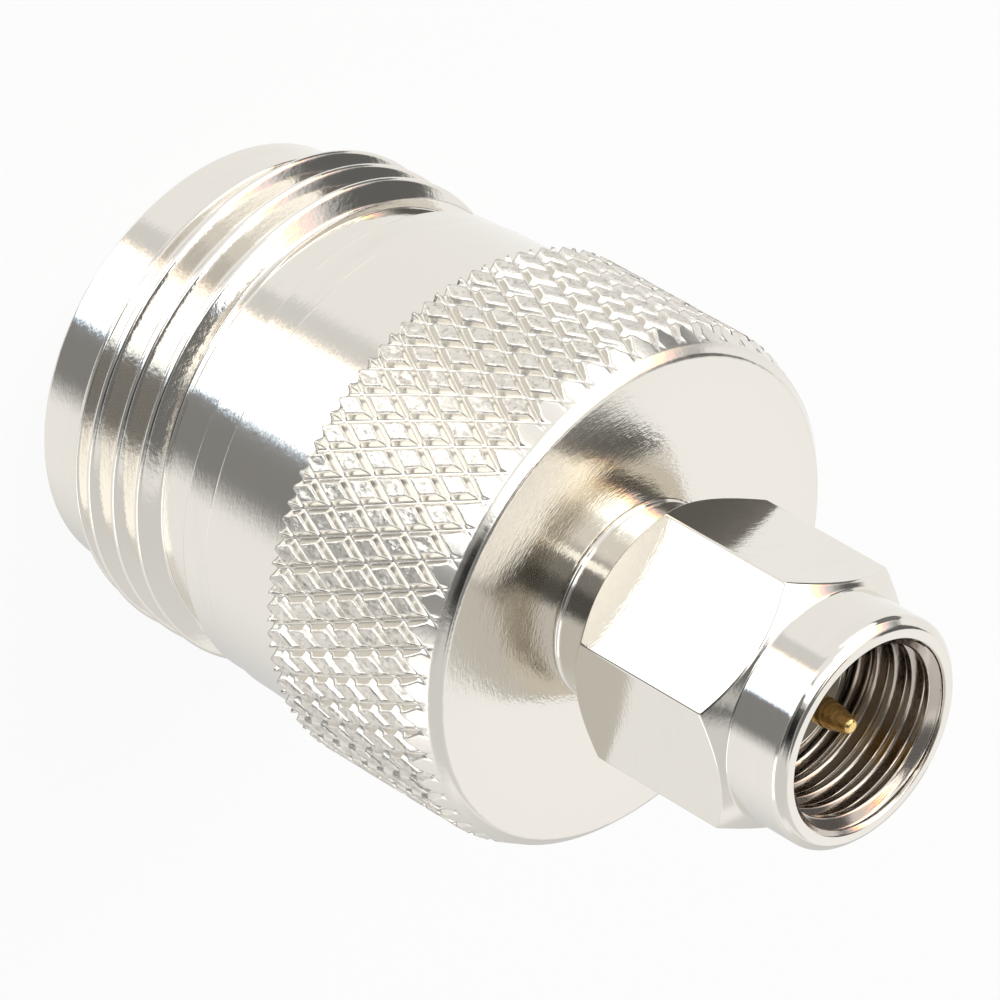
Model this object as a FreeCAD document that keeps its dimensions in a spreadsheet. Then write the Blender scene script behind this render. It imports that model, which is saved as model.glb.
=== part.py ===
import FreeCAD, Part
import math
import os
import Sketcher

# Coaxial adapter: a large threaded socket at the bottom, a small nut with a pin at the top.
# Own frame: +Z along the adapter's axis, origin at the centre of the socket's open mouth,
# whose flat ring the adapter stands on. All lengths are in millimetres, angles in degrees.

SIZES = {
    # Barrel of the large socket
    "lead_radius": 7.12,
    "lead_length": 1.60,
    "rim_chamfer": 0.15,
    "screw_radius": 7.92,
    "screw_depth": 0.65,
    "screw_pitch": 1.0583,
    "screw_crest": 0.132,
    "screw_flank_angle": 30,
    "screw_length": 4.00,
    "screw_phase": 0.447,
    "relief_length": 1.40,
    "flange_radius": 7.76,
    "flange_length": 1.05,
    "socket_radius": 4.06,
    "socket_depth": 9.10,
    "mouth_chamfer": 0.40,
    "line_radius": 3.50,
    "spigot_radius": 6.30,
    "spigot_length": 3.80,
    # Knurled rear body
    "collar_radius": 7.84,
    "collar_end_radius": 7.94,
    "collar_length": 3.35,
    "seam_chamfer": 0.06,
    "knurl_radius": 8.45,
    "knurl_depth": 0.27,
    "knurl_length": 6.80,
    "knurl_count": 54,
    "knurl_angle": 27.4,
    "knurl_land": 0.60,
    "bevel_length": 0.75,
    "bevel_undercut": 0.02,
    "face_chamfer": 0.30,
    "wall_thickness": 2.00,
    "shell_hole_radius": 2.60,
    # Shell of the small plug: neck with its ring groove, and outer contact
    "neck_radius": 3.20,
    "neck_length": 3.20,
    "neck_chamfer": 0.10,
    "groove_place": 2.20,
    "plug_radius": 2.28,
    "plug_length": 3.40,
    "plug_bore_radius": 2.05,
    # Split retaining ring
    "ring_width": 0.50,
    "ring_inner_radius": 2.92,
    "ring_outer_radius": 3.42,
    "ring_gap": 1.20,
    # Coupling nut
    "nut_rear_gap": 1.45,
    "nut_length": 8.25,
    "across_flats": 7.90,
    "rear_face_radius": 3.85,
    "rear_chamfer": 0.62,
    "cone_length": 0.63,
    "front_radius": 3.76,
    "front_length": 2.15,
    "lip_radius": 3.18,
    "lip_chamfer": 0.28,
    "nut_bore_radius": 2.83,
    "shoulder_gap": 0.30,
    # Insulators and centre conductor
    "insulator_recess": 0.30,
    "contact_reach": 4.75,
    "contact_radius": 1.52,
    "contact_chamfer": 0.20,
    "contact_hole_radius": 0.82,
    "contact_hole_depth": 6.00,
    "stem_radius": 1.08,
    "slot_width": 0.25,
    "slot_length": 4.00,
    "joint_radius": 0.40,
    "joint_length": 1.90,
    "conductor_radius": 0.635,
    "pin_radius": 0.45,
    "pin_length": 2.40,
    "pin_taper": 0.85,
    "pin_tip_radius": 0.20,
    # Clearances
    "fit": 0.01,
    "end_gap": 0.05,
    "neck_fit": 0.06,
    "ring_fit": 0.08,
    "ring_play": 0.01,
    "nut_float": 0.20,
}

PLACES = {
    # Heights above the socket's mouth
    "relief_start": "sizes.lead_length + sizes.screw_length",
    "flange_start": "relief_start + sizes.relief_length",
    "seam": "flange_start + sizes.flange_length",
    "knurl_start": "seam + sizes.collar_length",
    "end_face": "knurl_start + sizes.knurl_length",
    "seat": "end_face - sizes.wall_thickness",
    "insulator_front": "sizes.socket_depth + sizes.insulator_recess",
    "contact_tip": "sizes.socket_depth - sizes.contact_reach",
    "joint_start": "seat - sizes.joint_length",
    "neck_end": "end_face + sizes.neck_length",
    "plug_face": "neck_end + sizes.plug_length",
    "groove_floor": "end_face + sizes.groove_place",
    "ring_rear": "groove_floor + sizes.ring_play",
    "nut_rear": "end_face + sizes.nut_rear_gap",
    "nut_shoulder": "neck_end + sizes.shoulder_gap",
    "hex_end": "nut_rear + sizes.nut_length - sizes.front_length",
    "nut_mouth": "nut_rear + sizes.nut_length",
    # Radii worked out from others
    "screw_root": "sizes.screw_radius - sizes.screw_depth",
    "knurl_floor": "sizes.knurl_radius - sizes.knurl_depth",
    "hex_corner": "sizes.across_flats / sqrt(3)",
    "neck_bore": "sizes.neck_radius + sizes.neck_fit",
}

# Room that a cutting shape has beyond what it cuts
CUT_ROOM = 0.05
# Levels of diamonds that the knurl's cutter has past each end of the knurl
SPARE_LEVELS = 1.5

document = FreeCAD.newDocument("coax_adapter")


def make_sheet(name, cells):
    """One row per value: its word in column A, its number or rule in column B."""
    sheet = document.addObject("Spreadsheet::Sheet", name)
    for row, (alias, content) in enumerate(cells.items(), start=1):
        sheet.set("A%d" % row, alias)
        sheet.set("B%d" % row, str(content))
        sheet.setAlias("B%d" % row, alias)
    document.recompute()
    return sheet


sizes = make_sheet("sizes", SIZES)
places = make_sheet("places", {name: "=" + rule for name, rule in PLACES.items()})


def number(rule):
    """The number that a rule on the two sheets gives."""
    return float(places.evalExpression(rule))


def beyond(rule):
    """A rule for a place just past the edge of what a cutting shape cuts."""
    return "(%s + %g)" % (rule, CUT_ROOM)


def new_body(label, base="0"):
    """A body whose own zero stands at height base on the adapter's axis."""
    body = document.addObject("PartDesign::Body", label)
    body.Label = label
    body.setExpression("Placement.Base.z", base)
    return body


def new_sketch(body, name, role):
    sketch = body.newObject("Sketcher::SketchObject", name)
    plane = next(item for item in body.Origin.OriginFeatures if item.Role == role)
    sketch.AttachmentSupport = [(plane, "")]
    sketch.MapMode = "FlatFace"
    sketch.Visibility = False
    return sketch


def draw_outline(sketch, corners):
    """Closed outline of straight lines; each corner is a pair of rules."""
    first = sketch.GeometryCount
    count = len(corners)
    points = [FreeCAD.Vector(number(x), number(y), 0) for x, y in corners]
    for index in range(count):
        sketch.addGeometry(Part.LineSegment(points[index], points[(index + 1) % count]), False)
    for index in range(count):
        following = first + (index + 1) % count
        sketch.addConstraint(Sketcher.Constraint("Coincident", first + index, 2, following, 1))
    for index, rules in enumerate(corners):
        for axis, rule in zip(("DistanceX", "DistanceY"), rules):
            held = Sketcher.Constraint(axis, -1, 1, first + index, 1, number(rule))
            place = sketch.addConstraint(held)
            sketch.setExpression("Constraints[%d]" % place, rule)


def draw_circle(sketch, radius_rule):
    circle = Part.Circle(FreeCAD.Vector(0, 0, 0), FreeCAD.Vector(0, 0, 1), number(radius_rule))
    index = sketch.addGeometry(circle, False)
    sketch.addConstraint(Sketcher.Constraint("Coincident", index, 3, -1, 1))
    place = sketch.addConstraint(Sketcher.Constraint("Radius", index, number(radius_rule)))
    sketch.setExpression("Constraints[%d]" % place, radius_rule)


def turned(body, name, base, corners):
    """Turn an outline of (radius, height) corners about the adapter's axis."""
    sketch = new_sketch(body, name + "_outline", "XZ_Plane")
    draw_outline(sketch, [(radius, "%s - (%s)" % (height, base)) for radius, height in corners])
    feature = body.newObject("PartDesign::Revolution", name)
    feature.Profile = sketch
    feature.ReferenceAxis = (sketch, ["V_Axis"])
    feature.Angle = 360
    document.recompute()
    return feature


def pocket_up(body, name, sketch, depth_rule):
    """Cut a sketch on the body's own XY plane upwards, and check that it cut."""
    before = body.Shape.Volume
    pocket = body.newObject("PartDesign::Pocket", name)
    pocket.Profile = sketch
    pocket.Reversed = True
    pocket.setExpression("Length", depth_rule)
    document.recompute()
    if not body.Shape.Volume < before:
        raise RuntimeError(name + " cuts nothing")
    return pocket


def turned_piece(label, base, corners):
    """A piece that is only turned, with its own zero at height base."""
    body = new_body(label, base)
    turned(body, label + "_turned", base, corners)
    return body


def socket_barrel():
    """Barrel of the large socket: lead, outer thread, relief and flange over its bore."""
    body = new_body("socket_barrel")
    full_crest = "sizes.lead_length + sizes.screw_radius - sizes.lead_radius"
    spigot_end = "seam + sizes.spigot_length"
    turned(body, "barrel_turned", "0", [
        ("sizes.socket_radius + sizes.mouth_chamfer", "0"),
        ("sizes.lead_radius - sizes.rim_chamfer", "0"),
        ("sizes.lead_radius", "sizes.rim_chamfer"),
        ("sizes.lead_radius", "sizes.lead_length"),
        ("sizes.screw_radius", full_crest),
        ("sizes.screw_radius", "places.relief_start - sizes.screw_depth / 2"),
        ("places.screw_root", "places.relief_start"),
        ("places.screw_root", "places.flange_start"),
        ("sizes.flange_radius", "places.flange_start"),
        ("sizes.flange_radius", "places.seam"),
        ("sizes.spigot_radius", "places.seam"),
        ("sizes.spigot_radius", "places." + spigot_end),
        ("sizes.line_radius", "places." + spigot_end),
        ("sizes.line_radius", "sizes.socket_depth"),
        ("sizes.socket_radius", "sizes.socket_depth"),
        ("sizes.socket_radius", "sizes.mouth_chamfer"),
    ])
    before = body.Shape.Volume
    groove = new_sketch(body, "screw_groove", "XZ_Plane")
    outer = beyond("sizes.screw_radius")
    slope = "tan(sizes.screw_flank_angle)"
    wide = "(sizes.screw_pitch - sizes.screw_crest) / 2 + %g * %s" % (CUT_ROOM, slope)
    narrow = "(sizes.screw_pitch - sizes.screw_crest) / 2 - sizes.screw_depth * " + slope
    draw_outline(groove, [
        (outer, "sizes.screw_phase - (%s)" % wide),
        (outer, "sizes.screw_phase + " + wide),
        ("places.screw_root", "sizes.screw_phase + " + narrow),
        ("places.screw_root", "sizes.screw_phase - (%s)" % narrow),
    ])
    screw = body.newObject("PartDesign::SubtractiveHelix", "screw_thread")
    screw.Profile = groove
    screw.ReferenceAxis = (groove, ["V_Axis"])
    screw.Mode = 0
    screw.setExpression("Pitch", "sizes.screw_pitch")
    runout = "places.flange_start - sizes.screw_pitch / 2 - %g" % CUT_ROOM
    screw.setExpression("Height", runout + " - sizes.screw_phase")
    document.recompute()
    if not body.Shape.Volume < before:
        raise RuntimeError("screw_thread cuts nothing")
    return body


def knurl_cutter():
    """Ring around the rear body whose inside is the diamond knurl.

    Two families of slanting grooves cross. Between them stand diamonds, each with four
    sloping sides and a wide flat top. A point is named by its column, half a diamond wide,
    and its level, half a diamond high; the grooves cross where column + level is even.
    """
    count = int(round(sizes.knurl_count))
    columns = 2 * count
    column_turn = math.pi / count
    tip = sizes.knurl_radius
    floor = tip - sizes.knurl_depth
    outside = tip + 4 * CUT_ROOM
    diamond_width = 2 * math.pi * tip / count
    level_height = diamond_width / math.tan(math.radians(sizes.knurl_angle)) / 2
    levels = int(math.ceil(sizes.knurl_length / level_height + 2 * SPARE_LEVELS))
    bottom = number("knurl_start") - SPARE_LEVELS * level_height
    land = sizes.knurl_land
    triangles = []

    def point(radius, column, level):
        turn = column * column_turn
        return FreeCAD.Vector(radius * math.cos(turn), radius * math.sin(turn),
                              bottom + level * level_height)

    def quad(one, two, three, four):
        triangles.extend([one, two, three])
        triangles.extend([one, three, four])

    for level in range(1, levels):
        for column in range((level + 1) % 2, columns, 2):
            around = [(column + 1, level), (column, level + 1), (column - 1, level), (column, level - 1)]
            feet = [point(floor, *place) for place in around]
            top = [point(tip, column + land * (place[0] - column), level + land * (place[1] - level))
                   for place in around]
            for side in range(4):
                quad(feet[side], top[side], top[side - 1], feet[side - 1])
            quad(top[3], top[2], top[1], top[0])
    for column in range(columns):
        low = (column % 2, (column + 1) % 2)
        high = tuple(levels - (column + step + levels) % 2 for step in (0, 1))
        for ends, upwards in ((low, False), (high, True)):
            inner = [point(floor, column + step, ends[step]) for step in (0, 1)]
            outer = [point(outside, column + step, ends[step]) for step in (0, 1)]
            if upwards:
                quad(inner[0], outer[0], outer[1], inner[1])
            else:
                quad(inner[0], inner[1], outer[1], outer[0])
        quad(point(outside, column, low[0]), point(outside, column + 1, low[1]),
             point(outside, column + 1, high[1]), point(outside, column, high[0]))
    return solid_of(triangles)


def bevel_cutter():
    """Ring that takes the knurl's end down in flat facets, two for each diamond's width."""
    columns = 2 * int(round(sizes.knurl_count))
    column_turn = 2 * math.pi / columns
    foot = number("knurl_floor") - sizes.bevel_undercut
    foot_height = number("end_face") - sizes.face_chamfer
    rise = sizes.bevel_length / (sizes.knurl_radius - foot)
    outside = sizes.knurl_radius + 4 * CUT_ROOM
    outline = [
        (outside, foot_height - rise * (outside - foot)),
        (foot, foot_height),
        (foot - sizes.face_chamfer - CUT_ROOM, number("end_face") + CUT_ROOM),
        (outside, number("end_face") + CUT_ROOM),
    ]
    triangles = []
    for column in range(columns):
        rings = []
        for turn in (column * column_turn, (column + 1) * column_turn):
            rings.append([FreeCAD.Vector(radius * math.cos(turn), radius * math.sin(turn), height)
                          for radius, height in outline])
        for corner in range(len(outline)):
            triangles.extend([rings[0][corner - 1], rings[0][corner], rings[1][corner]])
            triangles.extend([rings[0][corner - 1], rings[1][corner], rings[1][corner - 1]])
    return solid_of(triangles)


def solid_of(corners):
    """Closed solid from a flat list of points, three to a triangle."""
    places_seen = {}
    points = []
    facets = []
    for start in range(0, len(corners), 3):
        facet = []
        for corner in corners[start:start + 3]:
            key = (round(corner.x, 6), round(corner.y, 6), round(corner.z, 6))
            if key not in places_seen:
                places_seen[key] = len(points)
                points.append(corner)
            facet.append(places_seen[key])
        facets.append(tuple(facet))
    shape = Part.Shape()
    shape.makeShapeFromMesh((points, facets), 0.0001)
    solid = Part.Solid(Part.Shell(shape.Faces))
    if solid.Volume < 0:
        solid.reverse()
    return solid


def cut_by(label, base, cutter_label, shape):
    """What is left of a piece when a shaped cutter is taken out of it."""
    cutter = document.addObject("Part::Feature", cutter_label)
    cutter.Shape = shape
    piece = document.addObject("Part::Cut", label)
    piece.Label = label
    piece.Base = base
    piece.Tool = cutter
    document.recompute()
    return piece


def rear_body():
    """Knurled rear body: smooth collar, diamond knurl with a bevelled end, and end wall."""
    blank = new_body("rear_blank", "places.seam")
    socket_floor = "places.seam + sizes.spigot_length + sizes.end_gap"
    turned(blank, "rear_turned", "places.seam", [
        ("sizes.spigot_radius + sizes.fit", "places.seam"),
        ("sizes.collar_radius - sizes.seam_chamfer", "places.seam"),
        ("sizes.collar_radius", "places.seam + sizes.seam_chamfer"),
        ("sizes.collar_end_radius", "places.knurl_start"),
        (beyond("sizes.knurl_radius"), "places.knurl_start"),
        (beyond("sizes.knurl_radius"), "places.end_face"),
        ("sizes.shell_hole_radius", "places.end_face"),
        ("sizes.shell_hole_radius", "places.seat"),
        ("sizes.line_radius", "places.seat"),
        ("sizes.line_radius", socket_floor),
        ("sizes.spigot_radius + sizes.fit", socket_floor),
    ])
    bevelled = cut_by("bevelled_blank", blank, "bevel_cutter", bevel_cutter())
    return cut_by("rear_body", bevelled, "knurl_cutter", knurl_cutter())


def plug_shell():
    """Shell of the small plug: pressed foot, neck with the ring's groove, outer contact."""
    return turned_piece("plug_shell", "places.seat", [
        ("sizes.plug_bore_radius", "places.seat"),
        ("sizes.shell_hole_radius - sizes.fit", "places.seat"),
        ("sizes.shell_hole_radius - sizes.fit", "places.end_face"),
        ("sizes.neck_radius + sizes.neck_chamfer", "places.end_face"),
        ("sizes.neck_radius", "places.end_face + sizes.neck_chamfer"),
        ("sizes.neck_radius", "places.groove_floor"),
        ("sizes.ring_inner_radius - sizes.ring_fit", "places.groove_floor"),
        ("sizes.ring_inner_radius - sizes.ring_fit",
         "places.ring_rear + sizes.ring_width + sizes.nut_float + sizes.ring_play"),
        ("sizes.neck_radius",
         "places.ring_rear + sizes.ring_width + sizes.nut_float + sizes.ring_play"),
        ("sizes.neck_radius", "places.neck_end"),
        ("sizes.plug_radius", "places.neck_end"),
        ("sizes.plug_radius", "places.plug_face"),
        ("sizes.plug_bore_radius", "places.plug_face"),
    ])


def retaining_ring():
    """Split ring that holds the coupling nut on the neck."""
    ring = turned_piece("retaining_ring", "places.ring_rear", [
        ("sizes.ring_inner_radius", "places.ring_rear"),
        ("sizes.ring_outer_radius", "places.ring_rear"),
        ("sizes.ring_outer_radius", "places.ring_rear + sizes.ring_width"),
        ("sizes.ring_inner_radius", "places.ring_rear + sizes.ring_width"),
    ])
    split = new_sketch(ring, "ring_split", "XY_Plane")
    draw_outline(split, [
        ("0", "-sizes.ring_gap / 2"),
        (beyond("sizes.ring_outer_radius"), "-sizes.ring_gap / 2"),
        (beyond("sizes.ring_outer_radius"), "sizes.ring_gap / 2"),
        ("0", "sizes.ring_gap / 2"),
    ])
    pocket_up(ring, "ring_opening", split, "2 * sizes.ring_width")
    return ring


def coupling_nut():
    """Nut of the small plug: hexagon with bevelled ends, round front, stepped bore."""
    nut = new_body("coupling_nut", "places.nut_rear")
    groove_low = "places.ring_rear - sizes.ring_play"
    groove_high = "places.ring_rear + sizes.ring_width + sizes.ring_play"
    groove_radius = "sizes.ring_outer_radius + sizes.ring_fit"
    turned(nut, "nut_turned", "places.nut_rear", [
        ("places.neck_bore", "places.nut_rear"),
        ("sizes.rear_face_radius", "places.nut_rear"),
        ("places.hex_corner", "places.nut_rear + sizes.rear_chamfer"),
        ("places.hex_corner", "places.hex_end - sizes.cone_length"),
        ("sizes.front_radius", "places.hex_end"),
        ("sizes.front_radius", "places.nut_mouth - sizes.lip_chamfer"),
        ("sizes.front_radius - sizes.lip_chamfer", "places.nut_mouth"),
        ("sizes.lip_radius", "places.nut_mouth"),
        ("sizes.nut_bore_radius", "places.nut_mouth - sizes.lip_radius + sizes.nut_bore_radius"),
        ("sizes.nut_bore_radius", "places.nut_shoulder"),
        ("places.neck_bore", "places.nut_shoulder"),
        ("places.neck_bore", groove_high),
        (groove_radius, groove_high),
        (groove_radius, groove_low),
        ("places.neck_bore", groove_low),
    ])
    flats = new_sketch(nut, "nut_flats", "XY_Plane")
    draw_circle(flats, beyond("places.hex_corner"))
    draw_outline(flats, [
        ("places.hex_corner * cos(%d)" % turn, "places.hex_corner * sin(%d)" % turn)
        for turn in range(0, 360, 60)
    ])
    pocket_up(nut, "nut_hexagon", flats, "places.hex_end - places.nut_rear")
    return nut


def socket_insulator():
    """White bead that carries the socket contact in the large line."""
    return turned_piece("socket_insulator", "places.insulator_front", [
        ("sizes.stem_radius + sizes.fit", "places.insulator_front"),
        ("sizes.line_radius - sizes.fit", "places.insulator_front"),
        ("sizes.line_radius - sizes.fit", "places.seat"),
        ("sizes.stem_radius + sizes.fit", "places.seat"),
    ])


def plug_insulator():
    """White sleeve between the plug's centre conductor and its outer contact."""
    return turned_piece("plug_insulator", "places.seat", [
        ("sizes.conductor_radius + sizes.fit", "places.seat"),
        ("sizes.plug_bore_radius - sizes.fit", "places.seat"),
        ("sizes.plug_bore_radius - sizes.fit", "places.plug_face"),
        ("sizes.conductor_radius + sizes.fit", "places.plug_face"),
    ])


def socket_contact():
    """Gilt socket contact: slotted sleeve in front, stem through the bead behind."""
    contact = turned_piece("socket_contact", "places.contact_tip", [
        ("sizes.contact_hole_radius", "places.contact_tip"),
        ("sizes.contact_radius - sizes.contact_chamfer", "places.contact_tip"),
        ("sizes.contact_radius", "places.contact_tip + sizes.contact_chamfer"),
        ("sizes.contact_radius", "places.insulator_front"),
        ("sizes.stem_radius", "places.insulator_front"),
        ("sizes.stem_radius", "places.seat"),
        ("sizes.joint_radius + sizes.fit", "places.seat"),
        ("sizes.joint_radius + sizes.fit", "places.joint_start - sizes.end_gap"),
        ("0", "places.joint_start - sizes.end_gap"),
        ("0", "places.contact_tip + sizes.contact_hole_depth"),
        ("sizes.contact_hole_radius", "places.contact_tip + sizes.contact_hole_depth"),
    ])
    slot = new_sketch(contact, "contact_slot", "XY_Plane")
    side = beyond("sizes.contact_radius")
    draw_outline(slot, [
        ("-" + side, "-sizes.slot_width / 2"),
        (side, "-sizes.slot_width / 2"),
        (side, "sizes.slot_width / 2"),
        ("-" + side, "sizes.slot_width / 2"),
    ])
    cut = pocket_up(contact, "contact_slots", slot, "sizes.slot_length")
    crossing = contact.newObject("PartDesign::PolarPattern", "crossing_slots")
    crossing.Originals = [cut]
    crossing.Axis = (slot, ["N_Axis"])
    crossing.Angle = 90
    crossing.Occurrences = 2
    contact.Tip = crossing
    document.recompute()
    return contact


def centre_pin():
    """Gilt centre conductor of the plug, joined into the socket contact's stem."""
    return turned_piece("centre_pin", "places.joint_start", [
        ("0", "places.joint_start"),
        ("sizes.joint_radius", "places.joint_start"),
        ("sizes.joint_radius", "places.seat"),
        ("sizes.conductor_radius", "places.seat"),
        ("sizes.conductor_radius", "places.plug_face"),
        ("sizes.pin_radius", "places.plug_face"),
        ("sizes.pin_radius", "places.plug_face + sizes.pin_length - sizes.pin_taper"),
        ("sizes.pin_tip_radius", "places.plug_face + sizes.pin_length"),
        ("0", "places.plug_face + sizes.pin_length"),
    ])


def check_document():
    for item in document.Objects:
        if "Invalid" in item.State or "Error" in item.State:
            raise RuntimeError(item.Name + " failed to build")


def write_pieces(pieces):
    os.makedirs("parts", exist_ok=True)
    for piece in pieces:
        shape = piece.Shape
        if shape.isNull() or not shape.isValid() or len(shape.Solids) != 1:
            raise RuntimeError(piece.Label + " is not one sound solid")
    for piece in pieces:
        piece.Shape.exportStep("parts/" + piece.Label + ".step")
        print("%-18s %9.3f mm3" % (piece.Label, piece.Shape.Volume))


built = [
    socket_barrel(),
    rear_body(),
    plug_shell(),
    socket_insulator(),
    plug_insulator(),
    socket_contact(),
    centre_pin(),
    retaining_ring(),
    coupling_nut(),
]
document.recompute()
check_document()
write_pieces(built)
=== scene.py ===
import math

import bmesh
import bpy
import numpy as np
from mathutils import Matrix, Vector


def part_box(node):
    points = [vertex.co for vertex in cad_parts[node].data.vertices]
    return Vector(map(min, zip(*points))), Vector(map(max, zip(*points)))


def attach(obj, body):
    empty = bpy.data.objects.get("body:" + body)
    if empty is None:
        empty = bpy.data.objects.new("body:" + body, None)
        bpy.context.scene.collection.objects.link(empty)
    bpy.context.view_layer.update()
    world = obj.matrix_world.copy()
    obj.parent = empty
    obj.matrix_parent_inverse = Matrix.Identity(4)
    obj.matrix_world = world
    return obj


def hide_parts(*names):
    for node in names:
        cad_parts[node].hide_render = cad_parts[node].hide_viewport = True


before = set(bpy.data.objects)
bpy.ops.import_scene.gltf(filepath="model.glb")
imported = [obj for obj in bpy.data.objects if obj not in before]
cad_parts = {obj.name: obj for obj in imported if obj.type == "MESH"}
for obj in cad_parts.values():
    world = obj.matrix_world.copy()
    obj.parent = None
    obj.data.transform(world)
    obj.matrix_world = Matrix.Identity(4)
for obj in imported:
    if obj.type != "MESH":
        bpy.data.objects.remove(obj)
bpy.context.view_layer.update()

# The adapter stands on its large socket, with +Z along its axis. Lengths here are in
# millimetres and angles in degrees until a mesh is written, in metres.
MM = 0.001

# Heights and radii that the frame gives
BARREL_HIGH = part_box("socket_barrel")[1] / MM
BODY_LOW, BODY_HIGH = (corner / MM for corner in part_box("rear_body"))
SHELL_LOW, SHELL_HIGH = (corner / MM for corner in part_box("plug_shell"))
NUT_LOW, NUT_HIGH = (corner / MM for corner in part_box("coupling_nut"))
PIN_LOW, PIN_HIGH = (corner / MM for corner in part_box("centre_pin"))
SEAM = BODY_LOW.z
END_FACE = BODY_HIGH.z
SEAT = SHELL_LOW.z
PLUG_FACE = SHELL_HIGH.z
NUT_REAR = NUT_LOW.z
NUT_MOUTH = NUT_HIGH.z
FLAT_DISTANCE = NUT_HIGH.y
SPIGOT_END = BARREL_HIGH.z

# Barrel of the large socket
LEAD_RADIUS = 7.12
LEAD_LENGTH = 1.60
RIM_CHAMFER = 0.15
SCREW_ROOT = 7.27
SCREW_CREST = 7.92
SCREW_PITCH = 1.0583
SCREW_CREST_WIDTH = 0.132
SCREW_GROOVE_START = 0.447
SCREW_END = 5.60
FLANGE_START = 7.00
FLANGE_RADIUS = 7.76
SOCKET_RADIUS = 4.06
SOCKET_DEPTH = 9.10
MOUTH_CHAMFER = 0.40
LINE_RADIUS = 3.50
SPIGOT_RADIUS = 6.30
FLANK_ANGLE = 30

# Knurled rear body
SEAM_CHAMFER = 0.06
COLLAR_RADIUS = 7.84
COLLAR_END_RADIUS = 7.94
KNURL_START = 11.40
KNURL_TIP = 8.45
KNURL_DEPTH = 0.27
KNURL_COUNT = 54
KNURL_ANGLE = 27.4
BEVEL_LENGTH = 0.75
BEVEL_UNDERCUT = 0.02
FACE_CHAMFER = 0.30
BODY_HOLE = 2.60

# Plug shell
NECK_RADIUS = 3.20
NECK_END = 21.40
NECK_CHAMFER = 0.10
GROOVE_FLOOR = 2.84
GROOVE_ENDS = (20.40, 21.12)
CONTACT_RADIUS = 2.28
CONTACT_BORE = 2.05

# Coupling nut
NECK_BORE = 3.26
HEX_END = 25.75
REAR_FACE_RADIUS = 3.85
REAR_CHAMFER = 0.62
CONE_LENGTH = 0.63
FRONT_RADIUS = 3.76
LIP_RADIUS = 3.18
LIP_CHAMFER = 0.28
LIP_REACH = 0.08
RING_POCKET = 3.50
RING_POCKET_LENGTH = 0.53
NUT_SCREW_MAJOR = 3.175
NUT_SCREW_MINOR = 2.83
NUT_SCREW_PITCH = 0.7056
NUT_SCREW_START = 22.60
NUT_SHOULDER = 21.70
RELIEF_RADIUS = 3.20
RELIEF_START = 22.05

# Centre pin
CONDUCTOR_RADIUS = 0.635
JOINT_RADIUS = 0.40
PIN_RADIUS = 0.45
PIN_TAPER = 0.85
PIN_TIP_RADIUS = 0.20

# Camera
CAMERA_AIM = (-0.5714, -0.054, 12.1683)
CAMERA_AZIMUTH = 5.400
CAMERA_ELEVATION = 35.988
CAMERA_DISTANCE = 278.79
CAMERA_ROLL = -120.122
CAMERA_LENS = 335.146
CAMERA_SENSOR = 36

# Metals and plastics, as linear colours
NICKEL = (0.80, 0.767, 0.705, 1)
GOLD = (0.86, 0.62, 0.26, 1)
BRONZE = (0.62, 0.44, 0.26, 1)
# Darker grey that the knurl's diamond tops are given, and their pits more strongly
KNURL_GREY = (0.46, 0.42, 0.36, 1)
# Painted shade: the darker, browner colour inside the nut's bore, where the threads lie in shadow
BORE_SHADE_TONE = (0.60, 0.54, 0.48, 1)
WHITE_BEAD = ((0.76, 0.75, 0.72, 1), (0.84, 0.83, 0.80, 1))
# Painted shade: a dark brown colour on the plug's bead that stands for the shadow deep inside the plug
PAINTED_SHADE_BEAD = ((0.30, 0.27, 0.21, 1), (0.36, 0.33, 0.26, 1))
FLOOR_GREY = (0.9, 0.9, 0.9, 1)
WHITE = (1, 1, 1, 1)

# Turning marks: how often they repeat in a millimetre, across the metal and along its outline
HAIRS = (4, 12)
BANDS = (0.3, 2.5)
HAIR_ROUGHNESS = 0.6

# Plated finishes: unevenness of the roughness, and the tone of the darker bands
BLOOM_SCALE = 0.45
BLOOM_DULLING = 0.05
MARK_DULLING = 0.06
BAND_TONE = 0.8
BAND_SHARE = 0.5
# Where the painted shade inside the nut's bore fades in, and how much duller the bore is
BORE_FADE = (-0.03, -0.005)
BORE_DULLING = 0.07
GRAIN_SCALE = 9.0

# Knurled finish: radii between which a mask rises, and what each mask does
TOP_SKIN = (8.40, 8.43)
GROOVE_WALL = (8.00, 8.12)
RUBBED_FACE = (5.2, 8.2)
FACE_FADE = (-0.05, -0.02)
FACING_MARKS = 1.0
TURNED_MARKS = 0.0045
FACET_SCALE = 3.2
FACET_PLACE = 40
FACET_TILT = 0.060
FLAKE_EDGE = (0.60, 0.62)
PIT_SCALE = 7.0
PIT_ROUGHNESS = 0.65
PIT_EDGE = (0.50, 0.68)
PIT_RELIEF = 0.020
PIT_DARKENING = 0.7
TOP_DARKENING = 0.2
PLAIN_DULLING = 0.13
GROOVE_DULLING = 0.13
RUBBED_DULLING = 0.11
TOP_DULLING = 0.26
TOP_CLOUDING = 0.12
CLOUD_SCALE = 1.6
FLAKE_POLISH = 0.1

# Plastic finish
MOTTLE_SCALE = 0.8
MOTTLE_DULLING = 0.1
PLASTIC_DULLING = 0.42
CUT_MARKS = (0.5, 10)
CUT_RELIEF = 0.003

# Studio, in degrees: azimuths from the camera's side, and elevations
STRIP_LEVEL = 2.2
STRIP_LEFT = (-28, -19)
STRIP_RIGHT = (12.5, 18.5)
STRIP_TOP = (16, 24)
STRIP_FLARE_START = 30
STRIP_FLARES = (0.22, 0.15)
WINDOW_LEFT = (-106, -98)
WINDOW_RIGHT = (-64, -57)
WINDOW_FOOT = (18, 24)
FRINGE_SHIFT = 0.5
WINDOW_FRINGE = 9
BACK_WALL = 0.07
BACK_WALL_FOOT = (5, 30)
FACING_FADE = (-0.6, -0.2)
CARD_FADE = 3
FLOOR_GLOW = 0.9
FLOOR_REACH = 1.5

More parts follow.
